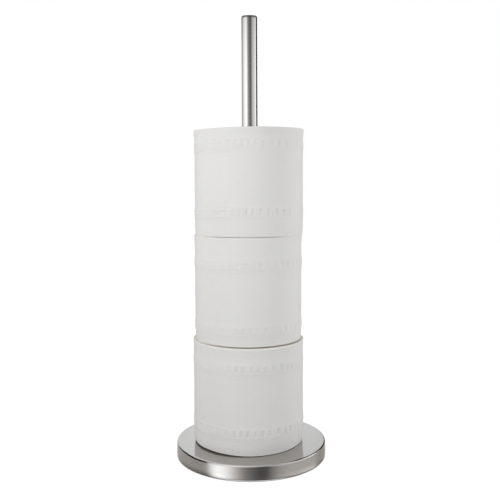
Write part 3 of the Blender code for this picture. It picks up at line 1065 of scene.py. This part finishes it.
def make_world():
    """White to the camera and in reflections, dimmer as a light."""
    world = bpy.data.worlds.new("studio")
    scene.world = world
    world.use_nodes = True
    board = Board(world.node_tree)
    paths = board.node("ShaderNodeLightPath")
    seen = paths["Is Camera Ray"].math("MAXIMUM", paths["Is Glossy Ray"])
    seen = seen.math("MAXIMUM", paths["Is Transmission Ray"])
    background = world.node_tree.nodes["Background"]
    board.feed(background.inputs["Color"], WHITE)
    board.feed(background.inputs["Strength"], seen * (1.0 - WORLD_LEVEL) + WORLD_LEVEL)


def add_lamp(name, place, width, power):
    """A square soft box that lights the object and isn't mirrored by it."""
    data = bpy.data.lights.new(name, "AREA")
    data.shape = "RECTANGLE"
    data.size = width
    data.size_y = width
    data.energy = power
    lamp = new_object(name, data)
    lamp.location = place
    lamp.rotation_euler = (Vector(OBJECT_MIDDLE) - Vector(place)).to_track_quat("-Z", "Y").to_euler()
    lamp.visible_glossy = False
    lamp.visible_camera = False
    print(name, power, "W")


make_world()
for lamp_row in LAMPS:
    add_lamp(*lamp_row)

# %% [markdown]
# A ring of cards stands round the object and is seen only in reflections: bright panels to the left and
# right, and dark gaps between them, draw the stripes down the pole and round the band. Their levels go by
# direction from the object, in degrees from the front, right of it positive. There are two rows: at the
# height of the pole and above, and low down, where only the band mirrors them.

# %% Helpers for what is only mirrored
CARD_STRENGTH = 2.0
CARD_TURN = 96


def reflected_only(obj):
    for kind in ("camera", "diffuse", "transmission", "volume_scatter", "shadow"):
        setattr(obj, "visible_" + kind, False)


def bare_material(name):
    """A material without nodes, and the board to write them on."""
    material = bpy.data.materials.new(name)
    material.use_nodes = True
    material.node_tree.nodes.clear()
    return material, Board(material.node_tree)


def glow(board, colour, strength=CARD_STRENGTH):
    return board.node("ShaderNodeEmission", {"Color": colour, "Strength": strength})[0]


def show(board, surface):
    board.node("ShaderNodeOutputMaterial", {"Surface": surface})


def direction(x, y):
    """The direction from the object in radians from the front, right of it positive."""
    return x.math("ARCTAN2", y * -1.0)


def turn_ramp(board, x, y, stops):
    """Levels by direction, as a share of the cards' full strength."""
    turn = direction(x, y) / (2 * math.pi) + 0.5
    levels = [(degrees / 360 + 0.5, level / CARD_STRENGTH) for degrees, level in stops]
    return board.node("ShaderNodeValToRGB", [turn], stops=levels)["Color"]


# %% Levels of the cards
HIGH_STOPS = (
    (-180, 1.25), (-165, 1.0), (-140, 0.62), (-122, 0.5), (-100, 1.2), (-75, 1.6),
    (-58, 1.9), (-42, 1.9), (-34, 1.4), (-26, 0.78), (-14, 0.42), (0, 0.29),
    (10, 0.2), (20, 0.13), (30, 0.44), (40, 0.76), (52, 0.97), (66, 1.02),
    (84, 1.36), (98, 1.75), (109, 1.75), (112, 0.01), (165, 0.01), (170, 1.14),
    (180, 1.14),
)
LOW_STOPS = (
    (-180, 1.4), (-166, 1.1), (-152, 0.56), (-140, 0.5), (-110, 0.51), (-84, 0.52),
    (-74, 0.53), (-67, 0.72), (-58, 1.42), (-50, 1.75), (-40, 1.5), (-30, 1.07),
    (-20, 0.63), (-10, 0.3), (0, 0.165), (12, 0.075), (22, 0.095), (30, 0.25),
    (42, 0.45), (60, 0.56), (100, 0.56), (125, 0.44), (148, 0.43), (158, 0.72),
    (168, 1.32), (180, 1.4),
)
# What the lowest cards are brighter or darker by: the foot of the band mirrors them
FOOT_FACTORS = (
    (-180, 0.65), (-150, 0.42), (-70, 0.38), (-62, 1.05), (-50, 1.32), (-40, 1.32),
    (-20, 1.36), (0, 1.55), (10, 1.72), (20, 1.5), (32, 1.48), (50, 1.62),
    (70, 1.75), (100, 1.95), (112, 2.0), (122, 0.72), (146, 0.22), (165, 0.36),
    (180, 0.6),
)
print("stops:", len(HIGH_STOPS), "high,", len(LOW_STOPS), "low,", len(FOOT_FACTORS), "at the foot")

# %% The ring of cards
CARD_RADIUS = 1.3
CARD_LOW = -0.9
CARD_HIGH = 1.02
END_BLEND = 0.1
LOW_CARDS_TOP = -0.20
HIGH_CARDS_FOOT = 0.08
HIGH_FADE = (0.66, 0.88)
HIGH_LOSS = 0.35
FOOT_CARDS = (-0.46, -0.68)
DARK_END = 0.08
BRIGHT_MIDDLE = 2.4
MIDDLE_REACH = (0.60, 0.35)
WARM = (1.0, 0.95, 0.91)
WARM_BELOW = (0.25, 0.6)
COOL = (0.945, 0.97, 1.0)
COOL_FROM = (0.84, 0.92)


def card_colour(board):
    """The colour of the ring: low cards that are warm where dim, high ones that are cool behind."""
    x, y, z = board.parts(board.object_place())

    def multiplied(first, second):
        return board.blend(1.0, first, second, "MULTIPLY")

    low = turn_ramp(board, x, y, LOW_STOPS)
    foot_factor = turn_ramp(board, x, y, FOOT_FACTORS) * CARD_STRENGTH
    low_factor = 1.0 + z.rise(*FOOT_CARDS) * (foot_factor - 1.0)
    low_colour = multiplied(low, board.blend(low.rise(*WARM_BELOW), WARM, WHITE))
    low_colour = multiplied(low_colour, board.grey(low_factor))
    behind = (direction(x, y) / math.pi).math("ABSOLUTE").rise(*COOL_FROM)
    faded = 1.0 - z.rise(*HIGH_FADE) * HIGH_LOSS
    high_colour = multiplied(turn_ramp(board, x, y, HIGH_STOPS), board.grey(faded))
    high_colour = multiplied(high_colour, board.blend(behind, WHITE, COOL))
    colour = board.blend(z.rise(LOW_CARDS_TOP, HIGH_CARDS_FOOT), low_colour, high_colour)
    ends = 1.0 - z.rise(CARD_LOW, CARD_LOW + END_BLEND) + z.rise(CARD_HIGH - END_BLEND, CARD_HIGH)
    middle = from_axis(x, y).rise(*MIDDLE_REACH)
    end_level = (middle * (BRIGHT_MIDDLE - DARK_END) + DARK_END) * (1.0 / CARD_STRENGTH)
    return board.blend(ends, colour, board.grey(end_level))


def card_ring():
    """A closed drum round the object, whose flat ends are bright in their middle."""
    material, board = bare_material("cards")
    show(board, glow(board, card_colour(board)))
    section = [(0.0, CARD_HIGH), (CARD_RADIUS, CARD_HIGH), (CARD_RADIUS, CARD_LOW), (0.0, CARD_LOW)]
    reflected_only(lathe("cards", section, CARD_TURN, material, closed=False))


card_ring()

# %% [markdown]
# The rounded edge of the base mirrors what hangs above it and stands round it, up to the height of the
# canopy. The pole is higher, so it mirrors only the cards further out. A canopy, a curved panel under it
# and two black flags beside the base draw the fine light and dark lines of that edge.

# %% Canopy, panel and flags
CANOPY_HEIGHT = 0.30
CANOPY_RADIUS = 0.42
CANOPY_HOLE = 0.065
CANOPY_INNER = (0.12, 0.17)
CANOPY_MIDDLE = 0.35
CANOPY_STOPS = (
    (-180, 1.0), (-95, 0.95), (-60, 0.95), (-30, 1.2), (0, 0.95), (12, 0.62),
    (45, 0.62), (75, 0.9), (86, 0.5), (94, 0.02), (160, 0.02), (175, 0.6),
    (180, 1.0),
)
# The panel by direction: its foot, its top and its level
PANEL_RADIUS = 0.30
RIM_PANEL = (
    (-110, 0.17, 0.3, 1.0), (-95, 0.16, 0.3, 0.95), (-80, 0.11, 0.3, 0.8),
    (-64, 0.06, 0.3, 0.6), (-58, -0.01, 0.3, 0.5), (-52, -0.03, 0.3, 0.9),
    (-44, -0.03, 0.3, 1.1), (-25, 0.0, 0.3, 1.15), (0, 0.05, 0.3, 0.95),
    (10, 0.05, 0.3, 0.62), (45, 0.04, 0.28, 0.62), (62, 0.03, 0.2, 0.8),
    (75, 0.02, 0.13, 1.1), (90, 0.015, 0.11, 1.25), (112, 0.015, 0.07, 1.2),
)
# The flags by the outline of each, (y, z)
FLAG_REACH = 0.26
LEFT_FLAG = (
    (-0.166, -0.035), (-0.162, 0.045), (-0.1, 0.072), (-0.05, 0.095), (0.0, 0.12),
    (0.04, 0.17), (0.12, 0.14), (0.2, 0.1), (0.2, -0.02), (0.02, -0.018),
    (-0.04, -0.032),
)
RIGHT_FLAG = ((-0.1, 0.13), (0.1, 0.12), (0.5, 0.1), (0.5, 0.3), (-0.1, 0.3))


def add_card(name, corners, faces, material):
    card = mesh_object(name, corners, [], faces)
    card.data.materials.append(material)
    reflected_only(card)
    print(name, len(faces), "faces")


def canopy():
    """A flat ring of cards above the base, dimmer in its middle."""
    material, board = bare_material("canopy")
    x, y, _ = board.parts(board.object_place())
    outer = from_axis(x, y).rise(*CANOPY_INNER)
    middle = (CANOPY_MIDDLE / CARD_STRENGTH,) * 3
    show(board, glow(board, board.blend(outer, middle, turn_ramp(board, x, y, CANOPY_STOPS))))
    section = [(CANOPY_HOLE, CANOPY_HEIGHT), (CANOPY_RADIUS, CANOPY_HEIGHT)]
    reflected_only(lathe("canopy", section, CARD_TURN, material, closed=False))


def rim_panel():
    """A curved panel between base and canopy."""
    corners = []
    for degrees, foot, top, _ in RIM_PANEL:
        x = PANEL_RADIUS * math.sin(math.radians(degrees))
        y = -PANEL_RADIUS * math.cos(math.radians(degrees))
        corners += [(x, y, foot), (x, y, top)]
    faces = [(2 * i, 2 * i + 2, 2 * i + 3, 2 * i + 1) for i in range(len(RIM_PANEL) - 1)]
    material, board = bare_material("rim_panel")
    x, y, _ = board.parts(board.object_place())
    stops = [(degrees, level) for degrees, _, _, level in RIM_PANEL]
    show(board, glow(board, turn_ramp(board, x, y, stops)))
    add_card("rim_panel", corners, faces, material)


def flag(name, side, outline):
    """A black panel that stands beside the base."""
    material, board = bare_material(name)
    show(board, glow(board, BLACK, 0.0))
    corners = [(side * FLAG_REACH, y, z) for y, z in outline]
    add_card(name, corners, [range(len(corners))], material)


canopy()
rim_panel()
flag("left_flag", -1.0, LEFT_FLAG)
flag("right_flag", 1.0, RIGHT_FLAG)

# %% [markdown]
# The floor is a matt disc. To the camera it is white, but close to the object a share of its real shade
# remains, as a soft shadow.

# %% Floor
FLOOR_RADIUS = 4.0
FLOOR_TURN = 64
FLOOR_GREY = (0.5, 0.5, 0.5)
FLOOR_WHITE = 1.25
FLOOR_SHARE = 0.80
ALL_WHITE_FROM = (0.12, 0.45)
UNDER_BASE = (BASE_RADIUS - 1.4 * MM, BASE_RADIUS + 0.3 * MM)


def make_floor():
    material, board = bare_material("floor")
    paint = board.node("ShaderNodeBsdfDiffuse", {"Color": FLOOR_GREY})[0]
    white = glow(board, WHITE, FLOOR_WHITE)
    x, y, _ = board.parts(board.object_place())
    reach = from_axis(x, y)
    share = reach.rise(*ALL_WHITE_FROM) * (1.0 - FLOOR_SHARE) + FLOOR_SHARE
    camera_share = board.node("ShaderNodeLightPath")["Is Camera Ray"] * (share * reach.rise(*UNDER_BASE))
    show(board, board.node("ShaderNodeMixShader", [camera_share, paint, white])[0])
    floor = lathe("floor", [(0.0, 0.0), (FLOOR_RADIUS, 0.0)], FLOOR_TURN, material, closed=False)
    floor.visible_glossy = False


make_floor()
